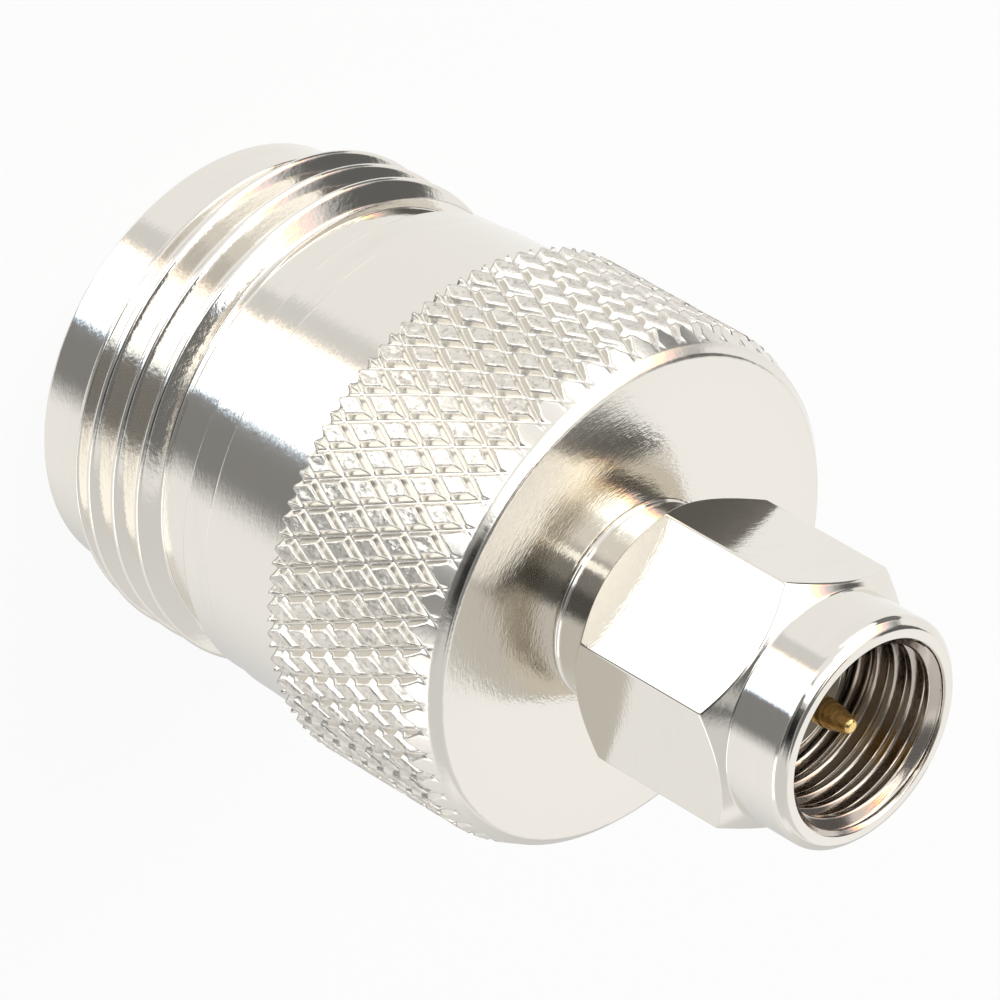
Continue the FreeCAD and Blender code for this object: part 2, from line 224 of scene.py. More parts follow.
# Each card: azimuths where it starts to rise, holds, starts to fall and ends; lowest and
# highest elevation; strength
DARK_CARDS = (
    ((16.5, 19, 46, 64), (-80, 12), 0.74),
    ((-44, -38, -27, -23), (-80, -14), 0.24),
    ((90, 176, 200, 201), (-80, 12), 0.34),
    ((-121, -118, -95, -92), (-26, 18), 0.80),
    ((-158, -147, -122, -104), (20, 50), 0.87),
    ((-26, -11, 42, 58), (20, 56), 0.74),
    ((12, 26, 42, 58), (12, 58), 0.60),
    ((42, 60, 150, 158), (20, 60), 0.24),
    ((6, 14, 60, 80), (48, 64), 0.80),
    ((-200, -199, 199, 200), (66, 100), 0.82),
)
SIDE_LIGHTS = (
    ((-98, -92, -54, -48), (38, 58), 0.90),
    ((-70, -62, -2, 4), (50, 66), 0.80),
    ((-15.5, -13, -6, -4), (20, 52), 0.70),
    ((50, 56, 90, 96), (-14, 14), 0.50),
    ((-96, -90, -56, -50), (-14, 14), 0.50),
)

# Fineness of the meshes
TURN = 2 * math.pi
ARC_STEPS = 3
ARC_SHARE = 0.45
CURVED_COLUMNS = 360
NUT_COLUMNS = 288
CORNER_STEPS = (0.2, 0.4, 0.6, 0.8)
SCREW_STEP = 0.07
KNURL_STEPS = 20
PLAIN_SHARE = 5
GUARD = 0.04
WELD = 0.001

# Eased edges, as the length that an arc takes from each side
EDGE = 0.035
FLANGE_EDGE = 0.05
FACE_EDGE = 0.09
ROOT_EDGE = 0.06
CREST_EDGE = 0.10
NUT_CREST_EDGE = 0.05
HEX_EDGE = 0.12
HEX_END_EDGE = 0.06
LIP_EDGE = 0.10
MOUTH_EDGE = 0.03
TAPER_EDGE = 0.25
TIP_EDGE = 0.12
TIP_WIDENING = 0.03
MEETING_EASE = 0.02

# End wall of the outer thread: how far it leans, the share of it that stays straight, and
# the place between wall and root that its foot eases through
WALL_LEAN = 0.05
WALL_SHARE = 0.9
FOOT_RISE = 0.04
FOOT_BACK = 0.005

# Skin of the knurl
DIAMOND_LENGTH = TURN * KNURL_TIP / KNURL_COUNT / math.tan(math.radians(KNURL_ANGLE))
DIAMOND_WIDTH = TURN * KNURL_TIP / KNURL_COUNT
KNURL_BOTTOM = KNURL_START - 0.75 * DIAMOND_LENGTH
KNURL_FLANK = 0.20
GROOVE_ROUND = 0.6
TOP_RIM = 0.003
TOP_RIM_WIDTH = 0.05
TOP_GRAIN = 0.0040
CRATER_DEPTHS = (0.004, 0.022)
CRATER_SHIFT = 0.06
CRATER_WIDTH = 0.10
CRATER_HEIGHT = 0.15
KNURL_LEVELS = 40
KNURL_SEED = 7


def spread(values, columns):
    """One value for each column, whether the value is the same all round or not."""
    return np.broadcast_to(np.asarray(values, float), (columns,))


def rounded(columns, corners):
    """Rows of (radius, height) through corners of (radius, height, easing), eased by arcs.

    A guard row beside each arc keeps the shading of the long faces flat.
    """
    places = [np.stack((spread(radius, columns), spread(height, columns)), axis=-1)
              for radius, height, easing in corners]
    rows = []
    for index, (radius, height, easing) in enumerate(corners):
        corner = places[index]
        if not easing:
            rows.append(corner)
            continue
        ends = []
        guards = []
        for neighbour in (places[index - 1], places[(index + 1) % len(places)]):
            side = neighbour - corner
            length = np.maximum(np.linalg.norm(side, axis=-1, keepdims=True), 1e-9)
            reach = np.minimum(easing, ARC_SHARE * length)
            ends.append(corner + side / length * reach)
            guards.append(ends[-1] + side / length * np.minimum(GUARD, length / 3 - 2 * reach / 3))
        rows.append(guards[0])
        for step in range(ARC_STEPS + 1):
            share = step / ARC_STEPS
            rows.append((1 - share) ** 2 * ends[0] + 2 * share * (1 - share) * corner + share ** 2 * ends[1])
        rows.append(guards[1])
    return np.stack(rows, axis=1)


def softly_less(one, other, ease):
    """The lesser of two lengths, with the corner between them eased."""
    return (one + other - np.sqrt((one - other) ** 2 + ease ** 2)) / 2


def screw_form(root, crest, pitch, root_width, crest_width, crest_edge):
    """One groove of a screw as (radius, height) points about the groove's middle."""
    crest_side = (pitch - crest_width) / 2
    root_side = root_width / 2
    form = rounded(1, [
        (crest, crest_side - pitch, 0),
        (crest, -crest_side, crest_edge),
        (root, -root_side, ROOT_EDGE),
        (root, root_side, ROOT_EDGE),
        (crest, crest_side, crest_edge),
        (crest, pitch - crest_side, 0),
    ])[0, 1:-1]
    filled = [form[0]]
    for point in form[1:]:
        steps = max(1, int(round(np.linalg.norm(point - filled[-1]) / SCREW_STEP)))
        filled.extend(np.linspace(filled[-1], point, steps + 1)[1:])
    return np.array(filled)


def screw_rows(angles, form, pitch, groove, ends, limit):
    """Rows that climb one pitch a turn between two heights, kept on the limit's side."""
    low, high = ends
    first = math.floor((low - groove) / pitch) - 1
    last = math.ceil((high - groove) / pitch) + 1
    rows = []
    for turn in range(first, last + 1):
        for radius, height in form:
            place = groove + height + pitch * (turn + angles / TURN)
            held = np.clip(place, low, high)
            rows.append(np.stack((limit(radius, held), held), axis=-1))
    return np.stack(rows, axis=1)


def swept(name, angles, section, slants=None):
    """Closed mesh through rows of (radius, height) at the columns' angles, one turn round.

    A quad whose slant is 1 or 2 is cut along one diagonal or the other.
    """
    columns, rows = section.shape[:2]
    turns = np.broadcast_to(np.reshape(angles, (columns, -1)), (columns, rows))
    radius, height = section[..., 0], section[..., 1]
    points = np.stack((radius * np.cos(turns), radius * np.sin(turns), height), axis=-1)
    index = np.arange(columns * rows).reshape(columns, rows)
    beside = np.roll(index, -1, axis=1)
    quads = np.stack((index[:-1], index[1:], beside[1:], beside[:-1]), axis=-1)
    if slants is None:
        faces = quads.reshape(-1, 4).tolist()
    else:
        faces = quads[slants == 0].tolist()
        for slant, halves in ((1, ((0, 1, 2), (0, 2, 3))), (2, ((0, 1, 3), (1, 2, 3)))):
            chosen = quads[slants == slant]
            for half in halves:
                faces.extend(chosen[:, half].tolist())
    mesh = bpy.data.meshes.new(name)
    mesh.from_pydata((points.reshape(-1, 3) * MM).tolist(), [], faces)
    shape = bmesh.new()
    shape.from_mesh(mesh)
    bmesh.ops.remove_doubles(shape, verts=shape.verts, dist=WELD * MM)
    bmesh.ops.recalc_face_normals(shape, faces=shape.faces)
    for face in shape.faces:
        face.smooth = True
    shape.to_mesh(mesh)
    shape.free()
    piece = bpy.data.objects.new(name, mesh)
    bpy.context.collection.objects.link(piece)
    weighted = piece.modifiers.new("weighted_normals", "WEIGHTED_NORMAL")
    weighted.weight = 100
    return piece


def even_angles(columns):
    """The angles of evenly spaced columns, with the first one again after a full turn."""
    return np.linspace(0, TURN, columns + 1)


def make_barrel():
    """Barrel of the large socket with its outer thread."""
    angles = even_angles(CURVED_COLUMNS)
    columns = len(angles)
    depth = SCREW_CREST - SCREW_ROOT
    flank = depth * math.tan(math.radians(FLANK_ANGLE))
    root_width = SCREW_PITCH - SCREW_CREST_WIDTH - 2 * flank
    form = screw_form(
        SCREW_ROOT, SCREW_CREST, SCREW_PITCH, root_width, SCREW_CREST_WIDTH, CREST_EDGE)

    wall = SCREW_END - WALL_LEAN
    groove = (wall - SCREW_GROOVE_START - SCREW_PITCH * angles / TURN + SCREW_PITCH / 2) % SCREW_PITCH
    at_wall = np.interp(groove - SCREW_PITCH / 2, form[:, 1], form[:, 0])

    def within(radius, height):
        start = np.minimum(LEAD_RADIUS + height - LEAD_LENGTH, SCREW_CREST)
        eased = softly_less(radius, start, MEETING_EASE)
        return np.where(height <= LEAD_LENGTH, start, np.where(height >= wall, at_wall, eased))

    screw = screw_rows(angles, form, SCREW_PITCH, SCREW_GROOVE_START, (LEAD_LENGTH, wall), within)
    wall_foot = at_wall * WALL_SHARE + SCREW_ROOT * (1 - WALL_SHARE)
    rest = rounded(columns, [
        (wall_foot, SCREW_END - WALL_LEAN * WALL_SHARE, 0),
        (SCREW_ROOT + FOOT_RISE, SCREW_END - FOOT_BACK, 0),
        (SCREW_ROOT, SCREW_END, 0),
        (SCREW_ROOT, SCREW_END + GUARD, 0),
        (SCREW_ROOT, FLANGE_START, EDGE),
        (FLANGE_RADIUS, FLANGE_START, FLANGE_EDGE),
        (FLANGE_RADIUS, SEAM, EDGE),
        (SPIGOT_RADIUS, SEAM, 0),
        (SPIGOT_RADIUS, SPIGOT_END, 0),
        (LINE_RADIUS, SPIGOT_END, 0),
        (LINE_RADIUS, SOCKET_DEPTH, EDGE),
        (SOCKET_RADIUS, SOCKET_DEPTH, EDGE),
        (SOCKET_RADIUS, MOUTH_CHAMFER, EDGE),
        (SOCKET_RADIUS + MOUTH_CHAMFER, 0, EDGE),
        (LEAD_RADIUS - RIM_CHAMFER, 0, EDGE),
        (LEAD_RADIUS, RIM_CHAMFER, EDGE),
        (LEAD_RADIUS, LEAD_LENGTH - GUARD, 0),
        (LEAD_RADIUS, LEAD_LENGTH, 0),
    ])
    return swept("threaded_barrel", angles, np.concatenate((screw, rest), axis=1))


def knurl_relief(around, along):
    """Height over the knurl's floor; places are counted in diamonds around and along.

    Two families of grooves leave diamonds with wide tops, each with a raised rim, a shallow
    crater off its middle and a grained skin.
    """
    first = around + along + 1e-6
    second = around - along + 1e-6
    gap = np.minimum(np.abs(first - np.round(first)), np.abs(second - np.round(second)))
    flank = np.clip(gap / KNURL_FLANK, 0, 1)
    flank = flank * (GROOVE_ROUND * flank + 1 - GROOVE_ROUND)
    off_first = first - np.floor(first) - 0.5
    off_second = second - np.floor(second) - 0.5
    column = (np.floor(first) + np.floor(second)).astype(int) % (2 * KNURL_COUNT)
    level = (np.floor(first) - np.floor(second)).astype(int) % KNURL_LEVELS
    diamonds = (KNURL_LEVELS, 2 * KNURL_COUNT)
    chance = np.random.default_rng(KNURL_SEED)
    depth = chance.uniform(*CRATER_DEPTHS, diamonds)[level, column]
    shifts = chance.uniform(-CRATER_SHIFT, CRATER_SHIFT, (2, *diamonds))
    aside = (off_first + off_second) / 2 * DIAMOND_WIDTH - shifts[0][level, column]
    upward = (off_first - off_second) / 2 * DIAMOND_LENGTH - shifts[1][level, column]
    crater = depth * np.exp(-(aside / CRATER_WIDTH) ** 2 - (upward / CRATER_HEIGHT) ** 2)
    inset = 0.5 - KNURL_FLANK - np.maximum(np.abs(off_first), np.abs(off_second))
    rim = TOP_RIM * np.exp(-(inset / TOP_RIM_WIDTH) ** 2)
    grain = chance.normal(0, TOP_GRAIN, (around.shape[0] - 1, around.shape[1]))
    grain = np.concatenate((grain, grain[:1]))
    top = inset > -1e-4
    return (KNURL_DEPTH - TOP_RIM) * flank + top * (rim - crater + grain)


def make_rear_body():
    """Knurled rear body: the knurl's rows have many columns, and the plain rows a fifth."""
    columns = KNURL_COUNT * KNURL_STEPS
    angles = even_angles(columns)
    start = (KNURL_START - KNURL_BOTTOM) / DIAMOND_LENGTH
    bevel_end = END_FACE - FACE_CHAMFER
    count = int((bevel_end - KNURL_START) / DIAMOND_LENGTH * KNURL_STEPS) + 1
    along = start + np.arange(count) / KNURL_STEPS
    heights = np.append(KNURL_BOTTOM + along * DIAMOND_LENGTH, bevel_end)
    along = np.append(along, (bevel_end - KNURL_BOTTOM) / DIAMOND_LENGTH)
    around = np.arange(columns + 1) / KNURL_STEPS
    around, along = np.meshgrid(around, along, indexing="ij")
    floor = KNURL_TIP - KNURL_DEPTH
    height = np.broadcast_to(heights, around.shape)
    foot = floor - BEVEL_UNDERCUT
    bevel = foot + (bevel_end - height) * (KNURL_DEPTH + BEVEL_UNDERCUT) / BEVEL_LENGTH
    radius = floor + knurl_relief(around, along)
    radius = np.where(height >= bevel_end, foot, softly_less(radius, bevel, MEETING_EASE))
    knurl = np.stack((np.minimum(radius, KNURL_TIP), height), axis=-1)

    collar = rounded(columns + 1, [
        (SPIGOT_RADIUS, SEAM, 0),
        (COLLAR_RADIUS - SEAM_CHAMFER, SEAM, 0),
        (COLLAR_RADIUS, SEAM + SEAM_CHAMFER, EDGE),
        (COLLAR_END_RADIUS, KNURL_START - GUARD, 0),
        (COLLAR_END_RADIUS, KNURL_START, 0),
    ])
    inside = rounded(columns + 1, [
        (foot - GUARD, bevel_end + GUARD, 0),
        (foot - FACE_CHAMFER, END_FACE, FACE_EDGE),
        (BODY_HOLE, END_FACE, EDGE),
        (BODY_HOLE, SEAT, 0),
        (LINE_RADIUS, SEAT, 0),
        (LINE_RADIUS, SPIGOT_END, 0),
        (SPIGOT_RADIUS, SPIGOT_END, 0),
    ])
    section = np.concatenate((collar, knurl, inside), axis=1)
    number = np.arange(columns + 1)
    plain = angles[np.clip(np.round(number / PLAIN_SHARE).astype(int) * PLAIN_SHARE, 0, columns)]
    turns = np.repeat(plain[:, None], section.shape[1], axis=1)
    knurl_rows = slice(collar.shape[1], collar.shape[1] + knurl.shape[1])
    turns[:, knurl_rows] = angles[:, None]

    first = (around + along)[:-1, :-1] + 1 / KNURL_STEPS
    second = (around - along)[:-1, :-1]
    nearer_first = np.abs(first - np.round(first)) < np.abs(second - np.round(second))
    slants = np.zeros((columns, section.shape[1]), int)
    knurl_quads = slice(collar.shape[1], collar.shape[1] + knurl.shape[1] - 1)
    slants[:, knurl_quads] = np.where(nearer_first, 2, 1)
    return swept("knurled_body", turns, section, slants)


def make_plug_shell():
    """Neck of the small plug with the ring's groove, and its outer contact."""
    angles = even_angles(CURVED_COLUMNS // 2)
    low, high = GROOVE_ENDS
    return swept("plug_neck", angles, rounded(len(angles), [
        (CONTACT_BORE, SEAT, 0),
        (BODY_HOLE, SEAT, 0),
        (BODY_HOLE, END_FACE, 0),
        (NECK_RADIUS + NECK_CHAMFER, END_FACE, 0),
        (NECK_RADIUS, END_FACE + NECK_CHAMFER, NECK_CHAMFER),
        (NECK_RADIUS, low, EDGE),
        (GROOVE_FLOOR, low, EDGE),
        (GROOVE_FLOOR, high, EDGE),
        (NECK_RADIUS, high, EDGE),
        (NECK_RADIUS, NECK_END, EDGE),
        (CONTACT_RADIUS, NECK_END, EDGE),
        (CONTACT_RADIUS, PLUG_FACE, EDGE),
        (CONTACT_BORE, PLUG_FACE, EDGE),
    ]))


def hexagon_radius(angles):
    """Distance from the axis to the hexagon's side, with its six corners a little rounded."""
    sixth = TURN / 6
    off_corner = np.abs((angles + sixth / 2) % sixth - sixth / 2)
    side = FLAT_DISTANCE / np.cos(sixth / 2 - off_corner)
    centre = (FLAT_DISTANCE - HEX_EDGE) / math.cos(sixth / 2)
    inside = np.maximum(HEX_EDGE ** 2 - (centre * np.sin(off_corner)) ** 2, 0)
    corner = centre * np.cos(off_corner) + np.sqrt(inside)
    reach = math.atan2(HEX_EDGE * math.sin(sixth / 2), centre + HEX_EDGE * math.cos(sixth / 2))
    return np.where(off_corner < reach, corner, side)


def nut_angles():
    """Even columns, with more at the hexagon's corners."""
    angles = set(np.round(even_angles(NUT_COLUMNS), 9))
    for corner in range(7):
        for step in CORNER_STEPS:
            for side in (-1, 1):
                angles.add(round(corner * TURN / 6 + side * math.radians(step), 9))
    angles = np.array(sorted(angle for angle in angles if 0 <= angle < TURN - 1e-6))
    return np.append(angles, TURN)


def make_nut():
    """Coupling nut: hexagon with bevelled ends, round front, thread inside."""
    angles = nut_angles()
    columns = len(angles)
    side = hexagon_radius(angles)
    corner = FLAT_DISTANCE / math.cos(TURN / 12)
    rear_slope = REAR_CHAMFER / (corner - REAR_FACE_RADIUS)
    cone_slope = CONE_LENGTH / (corner - FRONT_RADIUS)
    rear_edge = NUT_REAR + (side - REAR_FACE_RADIUS) * rear_slope
    front_edge = HEX_END - (side - FRONT_RADIUS) * cone_slope
    mouth_floor = NUT_MOUTH - (LIP_RADIUS - NUT_SCREW_MINOR)
    outside = rounded(columns, [
        (NECK_BORE, NUT_REAR, EDGE),
        (REAR_FACE_RADIUS, NUT_REAR, EDGE),
        (side, rear_edge, HEX_END_EDGE),
        (side, front_edge, HEX_END_EDGE),
        (FRONT_RADIUS, HEX_END, EDGE),
        (FRONT_RADIUS, NUT_MOUTH - LIP_CHAMFER, LIP_EDGE),
        (FRONT_RADIUS - LIP_CHAMFER, NUT_MOUTH, LIP_EDGE),
        (LIP_RADIUS, NUT_MOUTH, MOUTH_EDGE),
        (LIP_RADIUS - LIP_REACH, NUT_MOUTH - LIP_REACH, 0),
    ])
    depth = NUT_SCREW_MAJOR - NUT_SCREW_MINOR
    flank = depth * math.tan(math.radians(FLANK_ANGLE))
    root_width = NUT_SCREW_PITCH / 8
    crest_width = NUT_SCREW_PITCH - root_width - 2 * flank
    form = screw_form(
        NUT_SCREW_MAJOR, NUT_SCREW_MINOR, NUT_SCREW_PITCH, root_width, crest_width, NUT_CREST_EDGE)
    ends = (NUT_SCREW_START, NUT_MOUTH - LIP_REACH)

    def beyond(radius, height):
        mouth = NUT_SCREW_MINOR + height - mouth_floor
        start = RELIEF_RADIUS - 2 * (height - NUT_SCREW_START)
        room = np.maximum(mouth, start)
        eased = -softly_less(-radius, -room, MEETING_EASE)
        return np.where((height <= ends[0]) | (height >= ends[1]), room, eased)

    screw = screw_rows(angles, form, NUT_SCREW_PITCH, NUT_SCREW_START, ends, beyond)[:, ::-1]
    ring_low = GROOVE_ENDS[0]
    ring_high = ring_low + RING_POCKET_LENGTH
    inside = rounded(columns, [
        (RELIEF_RADIUS, NUT_SCREW_START, 0),
        (RELIEF_RADIUS, NUT_SCREW_START - GUARD, 0),
        (RELIEF_RADIUS, RELIEF_START, EDGE),
        (NUT_SCREW_MINOR, RELIEF_START, EDGE),
        (NUT_SCREW_MINOR, NUT_SHOULDER, EDGE),
        (NECK_BORE, NUT_SHOULDER, EDGE),
        (NECK_BORE, ring_high, 0),
        (RING_POCKET, ring_high, 0),
        (RING_POCKET, ring_low, 0),
        (NECK_BORE, ring_low, 0),
    ])
    return swept("union_nut", angles, np.concatenate((outside, screw, inside), axis=1))


def make_pin():
    """Centre pin: conductor, pin and rounded tip."""
    angles = even_angles(CURVED_COLUMNS // 4)
    taper = PIN_HIGH.z - PIN_TAPER
    return swept("plug_pin", angles, rounded(len(angles), [
        (0, PIN_LOW.z, 0),
        (JOINT_RADIUS, PIN_LOW.z, 0),
        (JOINT_RADIUS, SEAT, 0),
        (CONDUCTOR_RADIUS, SEAT, 0),
        (CONDUCTOR_RADIUS, PLUG_FACE, EDGE),
        (PIN_RADIUS, PLUG_FACE, EDGE),
        (PIN_RADIUS, taper, TAPER_EDGE),
        (PIN_TIP_RADIUS + TIP_WIDENING, PIN_HIGH.z, TIP_EDGE),
        (0, PIN_HIGH.z, 0),
    ]))


class Value:
    """A shader socket that adds Math nodes when it is counted with."""

    def __init__(self, nodes, socket):
        self.nodes = nodes
        self.socket = socket

    def math(self, operation, first, second=0.0):
        return self.nodes.add("ShaderNodeMath", {"operation": operation}, {0: first, 1: second})

    def __add__(self, other):
        return self.math("ADD", self, other)

    def __radd__(self, other):
        return self.math("ADD", other, self)

    def __sub__(self, other):
        return self.math("SUBTRACT", self, other)

    def __rsub__(self, other):
        return self.math("SUBTRACT", other, self)

    def __mul__(self, other):
        return self.math("MULTIPLY", self, other)

    def __rmul__(self, other):
        return self.math("MULTIPLY", other, self)

    def __pow__(self, other):
        return self.math("POWER", self, other)

    def most(self, other):
        """The greater of the two."""
        return self.math("MAXIMUM", self, other)

    def rise(self, low, high):
        """0 below low, 1 above high, with a smooth step between."""
        return self.nodes.add(
            "ShaderNodeMapRange",
            {"interpolation_type": "SMOOTHSTEP"},
            {"Value": self, "From Min": low, "From Max": high},
        )


class Nodes:
    """The nodes of one material or of the world."""

    def __init__(self, tree):
        self.tree = tree
        tree.nodes.clear()

    def add(self, kind, settings=None, inputs=None, output=0):
        node = self.tree.nodes.new(kind)
        for name, value in (settings or {}).items():
            setattr(node, name, value)
        for name, value in (inputs or {}).items():
            if isinstance(value, Value):
                self.tree.links.new(value.socket, node.inputs[name])
            else:
                node.inputs[name].default_value = value
        return Value(self, node.outputs[output]) if node.outputs else None

    def mix(self, factor, first, second):
        """Mix of two colours; the node's colour sockets are its 6 and 7, and 2 on the way out."""
        return self.add("ShaderNodeMix", {"data_type": "RGBA"}, {0: factor, 6: first, 7: second}, 2)

    def parts(self, vector):
        return [self.add("ShaderNodeSeparateXYZ", None, {0: vector}, output) for output in range(3)]

    def vector(self, x, y, z):
        return self.add("ShaderNodeCombineXYZ", None, {0: x, 1: y, 2: z})

    def noise(self, vector, scale, detail=2.0, roughness=0.5):
        return self.add("ShaderNodeTexNoise", None, {
            "Vector": vector, "Scale": scale, "Detail": detail, "Roughness": roughness,
        })

    def bump(self, height, depth, normal=None):
        """Normal of a surface whose height, from 0 to 1, stands for a depth in millimetres."""
        inputs = {"Strength": 1.0, "Distance": depth * MM, "Height": height}
        if normal:
            inputs["Normal"] = normal
        return self.add("ShaderNodeBump", None, inputs)

    def surface(self, tone, roughness, normal, metallic=1.0):
        """Principled shader on the material's surface."""
        shader = self.add("ShaderNodeBsdfPrincipled", None, {
            "Base Color": tone, "Metallic": metallic, "Roughness": roughness, "Normal": normal,
        })
        self.add("ShaderNodeOutputMaterial", None, {"Surface": shader})


def new_material(name):
    """A material and its empty node tree."""
    material = bpy.data.materials.new(name)
    material.use_nodes = True
    return material, Nodes(material.node_tree)


def turning_place(nodes):
    """Place in millimetres, and its radius from the axis."""
    here = nodes.add("ShaderNodeTexCoord", None, None, "Object")
    x, y, z = (part * (1 / MM) for part in nodes.parts(here))
    radius = (x * x + y * y) ** 0.5
    return x, y, z, radius


def turning_marks(nodes, x, y, along, scales, roughness=0.5):
    """Marks that run round the axis; along is the distance along a turned outline."""
    across, outline = scales
    stretched = nodes.vector(x * across, y * across, along * outline)
    return nodes.noise(stretched, 1.0, 2.0, roughness)


def plated(name, colour, roughness, marks, pits, bore=0.0):
    """Bright plating over turned metal, with marks that run round the axis.

    Marks and pits are depths. Inside the bore's radius, where there is one, the plating is
    duller, and its colour is darkened and browned there as painted shade inside the bore.
    """
    material, nodes = new_material(name)
    x, y, z, radius = turning_place(nodes)
    hairs = turning_marks(nodes, x, y, z + radius, HAIRS, HAIR_ROUGHNESS)
    bands = turning_marks(nodes, x, y, z + radius, BANDS)
    grain = nodes.noise(nodes.vector(x, y, z), GRAIN_SCALE, 3.0, 0.6)
    bloom = nodes.noise(nodes.vector(x, y, z), BLOOM_SCALE, 2.0)
    dull = (bloom - 0.5) * BLOOM_DULLING + (bands - 0.5) * MARK_DULLING + (hairs - 0.5) * MARK_DULLING
    darker = [part * BAND_TONE for part in colour[:3]] + [1]
    tone = nodes.mix((bands - 0.5).most(0.0) * BAND_SHARE, colour, darker)
    if bore:
        fade_start, fade_end = BORE_FADE
        inside = 1 - radius.rise(bore + fade_start, bore + fade_end)
        dull = dull + inside * BORE_DULLING
        # Painted shade: the colour inside the bore darkens and browns towards this tone
        tone = nodes.mix(inside, tone, BORE_SHADE_TONE)
    turned = nodes.bump(hairs + bands, marks)
    nodes.surface(tone, dull + roughness, nodes.bump(grain, pits, turned))
    return material


def knurled(name):
    """Plating of the rear body: bright in the grooves, dull and pitted on the diamonds' tops."""
    material, nodes = new_material(name)
    x, y, z, radius = turning_place(nodes)
    hairs = turning_marks(nodes, x, y, z + radius, HAIRS, HAIR_ROUGHNESS)
    bands = turning_marks(nodes, x, y, z + radius, BANDS)
    pitting = nodes.noise(nodes.vector(x, y, z), PIT_SCALE, 4.0, PIT_ROUGHNESS)
    cloud = nodes.noise(nodes.vector(x, y, z), CLOUD_SCALE, 2.0)
    facets = nodes.noise(nodes.vector(x + FACET_PLACE, y, z), FACET_SCALE, 1.0)

    top = radius.rise(*TOP_SKIN)
    plain = 1 - top
    groove = radius.rise(*GROOVE_WALL) * plain
    fade_start, fade_end = FACE_FADE
    face = z.rise(END_FACE + fade_start, END_FACE + fade_end)
    rubbed = face * radius.rise(*RUBBED_FACE)
    flakes = facets.rise(*FLAKE_EDGE) * top
    pits = pitting.rise(*PIT_EDGE) * top * (1 - flakes)

    # The diamonds' tops, and their pits still more, are coloured a darker grey
    tone = nodes.mix(pits * PIT_DARKENING + top * TOP_DARKENING * (1 - flakes), NICKEL, KNURL_GREY)
    turned = nodes.bump((hairs + bands - 1) * plain * (1 + face * FACING_MARKS), TURNED_MARKS)
    tilted = nodes.bump((facets - 0.5) * top, FACET_TILT, turned)
    relief = nodes.bump((pitting - 0.5) * top, PIT_RELIEF, tilted)
    smooth = plain * ((hairs - 0.5) * MARK_DULLING + PLAIN_DULLING)
    rough = top * (cloud * TOP_CLOUDING + TOP_DULLING - flakes * FLAKE_POLISH)
    roughness = smooth + groove * GROOVE_DULLING + rubbed * RUBBED_DULLING + rough
    nodes.surface(tone, roughness, relief)
    return material


def dielectric(name, dark, pale):
    """Plastic bead, faintly mottled between two colours, with marks of its turning."""
    material, nodes = new_material(name)
    x, y, z, radius = turning_place(nodes)
    mottle = nodes.noise(nodes.vector(x, y, z), MOTTLE_SCALE, 2.0)
    cut = turning_marks(nodes, x, y, z + radius, CUT_MARKS)
    tone = nodes.mix(mottle, dark, pale)
    roughness = mottle * MOTTLE_DULLING + PLASTIC_DULLING
    nodes.surface(tone, roughness, nodes.bump(cut, CUT_RELIEF), 0.0)
    return material


def direction(azimuth, elevation):
    """Unit vector; azimuth 0 is the camera's side, growing to its right, both in degrees."""
    turn = math.radians(CAMERA_AZIMUTH + azimuth)
    rise = math.radians(elevation)
    return Vector((math.cos(rise) * math.sin(turn), -math.cos(rise) * math.cos(turn), math.sin(rise)))


def card(azimuth, elevation, sides, heights):
    """1 on a card that hangs in the studio, else 0: its azimuths rise, hold and fall."""
    rise_start, rise_end, fall_start, fall_end = sides
    low, high = heights
    across = azimuth.rise(rise_start, rise_end) * (1 - azimuth.rise(fall_start, fall_end))
    foot = elevation.rise(low - CARD_FADE, low + CARD_FADE)
    head = elevation.rise(high - CARD_FADE, high + CARD_FADE)
    return across * (foot * (1 - head))


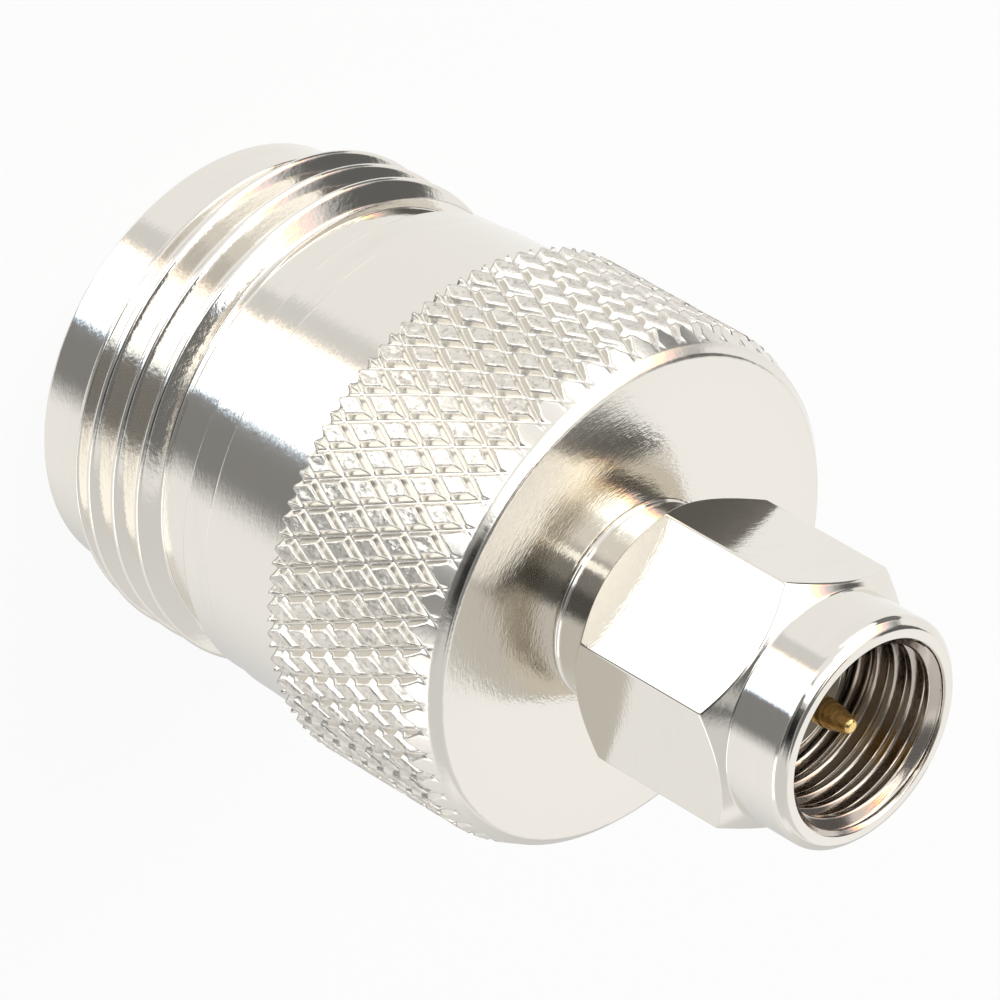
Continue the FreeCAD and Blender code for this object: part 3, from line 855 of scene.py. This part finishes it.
def light_world():
    """Studio round the object: pale walls, a strip light, a window, dark cards, small lights.

    The edges of the strip and the window lie a little apart in red and in blue, which gives
    the plating its warm and cold fringes.
    """
    world = bpy.data.worlds.new("studio")
    bpy.context.scene.world = world
    world.use_nodes = True
    world.cycles.sampling_method = "NONE"
    nodes = Nodes(world.node_tree)
    x, y, z = nodes.parts(nodes.add("ShaderNodeTexCoord", None, None, "Generated"))
    facing = direction(0, 0)
    ahead = x * facing.x + y * facing.y
    aside = y * facing.x - x * facing.y
    azimuth = aside.math("ARCTAN2", aside, ahead) * math.degrees(1)
    elevation = z.math("ARCSINE", z) * math.degrees(1)
    below = (elevation * -1 - STRIP_FLARE_START).most(0.0)
    left_flare, right_flare = STRIP_FLARES

    facing_side = ahead.rise(*FACING_FADE)
    shade = 1.0
    for sides, heights, strength in DARK_CARDS:
        shade = shade * (1 - card(azimuth, elevation, sides, heights) * strength)
    steady = 0.0
    for sides, heights, strength in SIDE_LIGHTS:
        steady = (card(azimuth, elevation, sides, heights) * strength).most(steady)
    wall = 1 + (1 - facing_side) * elevation.rise(*BACK_WALL_FOOT) * BACK_WALL
    levels = []
    for shift in (FRINGE_SHIFT, 0, -FRINGE_SHIFT):
        moved = azimuth + shift
        left = (moved + below * left_flare).rise(*STRIP_LEFT)
        right = 1 - (moved - below * right_flare).rise(*STRIP_RIGHT)
        strip = left * right * (1 - elevation.rise(*STRIP_TOP))
        window_left = (azimuth + shift * WINDOW_FRINGE).rise(*WINDOW_LEFT)
        window_right = 1 - moved.rise(*WINDOW_RIGHT)
        window = window_left * window_right * elevation.rise(*WINDOW_FOOT)
        light = strip.most(window).most(steady)
        levels.append(shade * (1 - light) * wall + light * STRIP_LEVEL)
    colour = nodes.add("ShaderNodeCombineColor", None, {0: levels[0], 1: levels[1], 2: levels[2]})
    lit = nodes.add("ShaderNodeBackground", None, {"Color": colour, "Strength": 1.0})
    clear = nodes.add("ShaderNodeBackground", None, {"Color": WHITE, "Strength": 1.0})
    seen = nodes.add("ShaderNodeLightPath", None, None, "Is Camera Ray")
    shown = nodes.add("ShaderNodeMixShader", None, {0: seen, 1: lit, 2: clear})
    nodes.add("ShaderNodeOutputWorld", None, {"Surface": shown})


def make_floor():
    """White floor that shows the object's shadow faintly, and that the metal doesn't mirror."""
    mesh = bpy.data.meshes.new("floor")
    corners = [(x * FLOOR_REACH, y * FLOOR_REACH, 0) for x, y in ((-1, -1), (1, -1), (1, 1), (-1, 1))]
    mesh.from_pydata(corners, [], [(0, 1, 2, 3)])
    floor = bpy.data.objects.new("floor", mesh)
    bpy.context.collection.objects.link(floor)
    material, nodes = new_material("white_floor")
    matt = nodes.add("ShaderNodeBsdfDiffuse", None, {"Color": FLOOR_GREY})
    glow = nodes.add("ShaderNodeEmission", None, {"Color": WHITE, "Strength": 1.0})
    seen = nodes.add("ShaderNodeLightPath", None, None, "Is Camera Ray")
    shown = nodes.add("ShaderNodeMixShader", None, {0: seen * FLOOR_GLOW, 1: matt, 2: glow})
    nodes.add("ShaderNodeOutputMaterial", None, {"Surface": shown})
    mesh.materials.append(material)
    floor.visible_glossy = False


def make_camera():
    """Long lens that looks down at the plug's end, rolled as the photographer held it."""
    data = bpy.data.cameras.new("camera")
    camera = bpy.data.objects.new("camera", data)
    bpy.context.collection.objects.link(camera)
    back = direction(0, CAMERA_ELEVATION)
    level = Vector((0, 0, 1)).cross(back).normalized()
    upright = back.cross(level)
    roll = math.radians(CAMERA_ROLL)
    up = upright * math.cos(roll) + level * math.sin(roll)
    right = up.cross(back)
    place = Vector(CAMERA_AIM) + back * CAMERA_DISTANCE
    turned = Matrix((right, up, back)).transposed().to_4x4()
    camera.matrix_world = Matrix.Translation(place * MM) @ turned
    data.sensor_width = CAMERA_SENSOR
    data.lens = CAMERA_LENS
    data.clip_start = 0.01
    data.clip_end = 10
    bpy.context.scene.camera = camera


def dress(piece, material, slot, body, *nodes):
    """Gives a piece its finish and body, and hides the nodes of the frame that it stands for."""
    piece.data.materials.append(material)
    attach(piece, body)
    if nodes:
        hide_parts(*nodes)


def refinish(node, material):
    """A better material on a node of the frame whose shape stays."""
    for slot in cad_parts[node].material_slots:
        slot.material = material


bpy.context.scene.view_settings.view_transform = "Standard"
make_camera()
light_world()
make_floor()

turned_nickel = plated("turned_nickel", NICKEL, roughness=0.10, marks=0.0045, pits=0.0004)
knurled_nickel = knurled("knurled_nickel")
nut_nickel = plated("nut_nickel", NICKEL, roughness=0.07, marks=0.0022, pits=0.0002, bore=LIP_RADIUS)
neck_nickel = plated("neck_nickel", NICKEL, roughness=0.07, marks=0.0022, pits=0.0002)
gilt = plated("gilt", GOLD, roughness=0.16, marks=0.0005, pits=0.0002)
bronze = plated("spring_bronze", BRONZE, roughness=0.22, marks=0.0010, pits=0.0006)
white_plastic = dielectric("white_plastic", *WHITE_BEAD)
painted_shade_plastic = dielectric("painted_shade_plastic", *PAINTED_SHADE_BEAD)

dress(make_barrel(), turned_nickel, "nickel_plate", "adapter", "socket_barrel")
dress(make_rear_body(), knurled_nickel, "nickel_plate", "adapter", "rear_body")
dress(make_plug_shell(), neck_nickel, "nickel_plate", "adapter", "plug_shell")
dress(make_nut(), nut_nickel, "nickel_plate", "nut", "coupling_nut")
dress(make_pin(), gilt, "gilding", "adapter", "centre_pin")
refinish("socket_insulator", white_plastic)
# Painted shade: the plug's bead is coloured dark to stand for the shadow deep inside the plug
refinish("plug_insulator", painted_shade_plastic)
refinish("socket_contact", gilt)
refinish("retaining_ring", bronze)
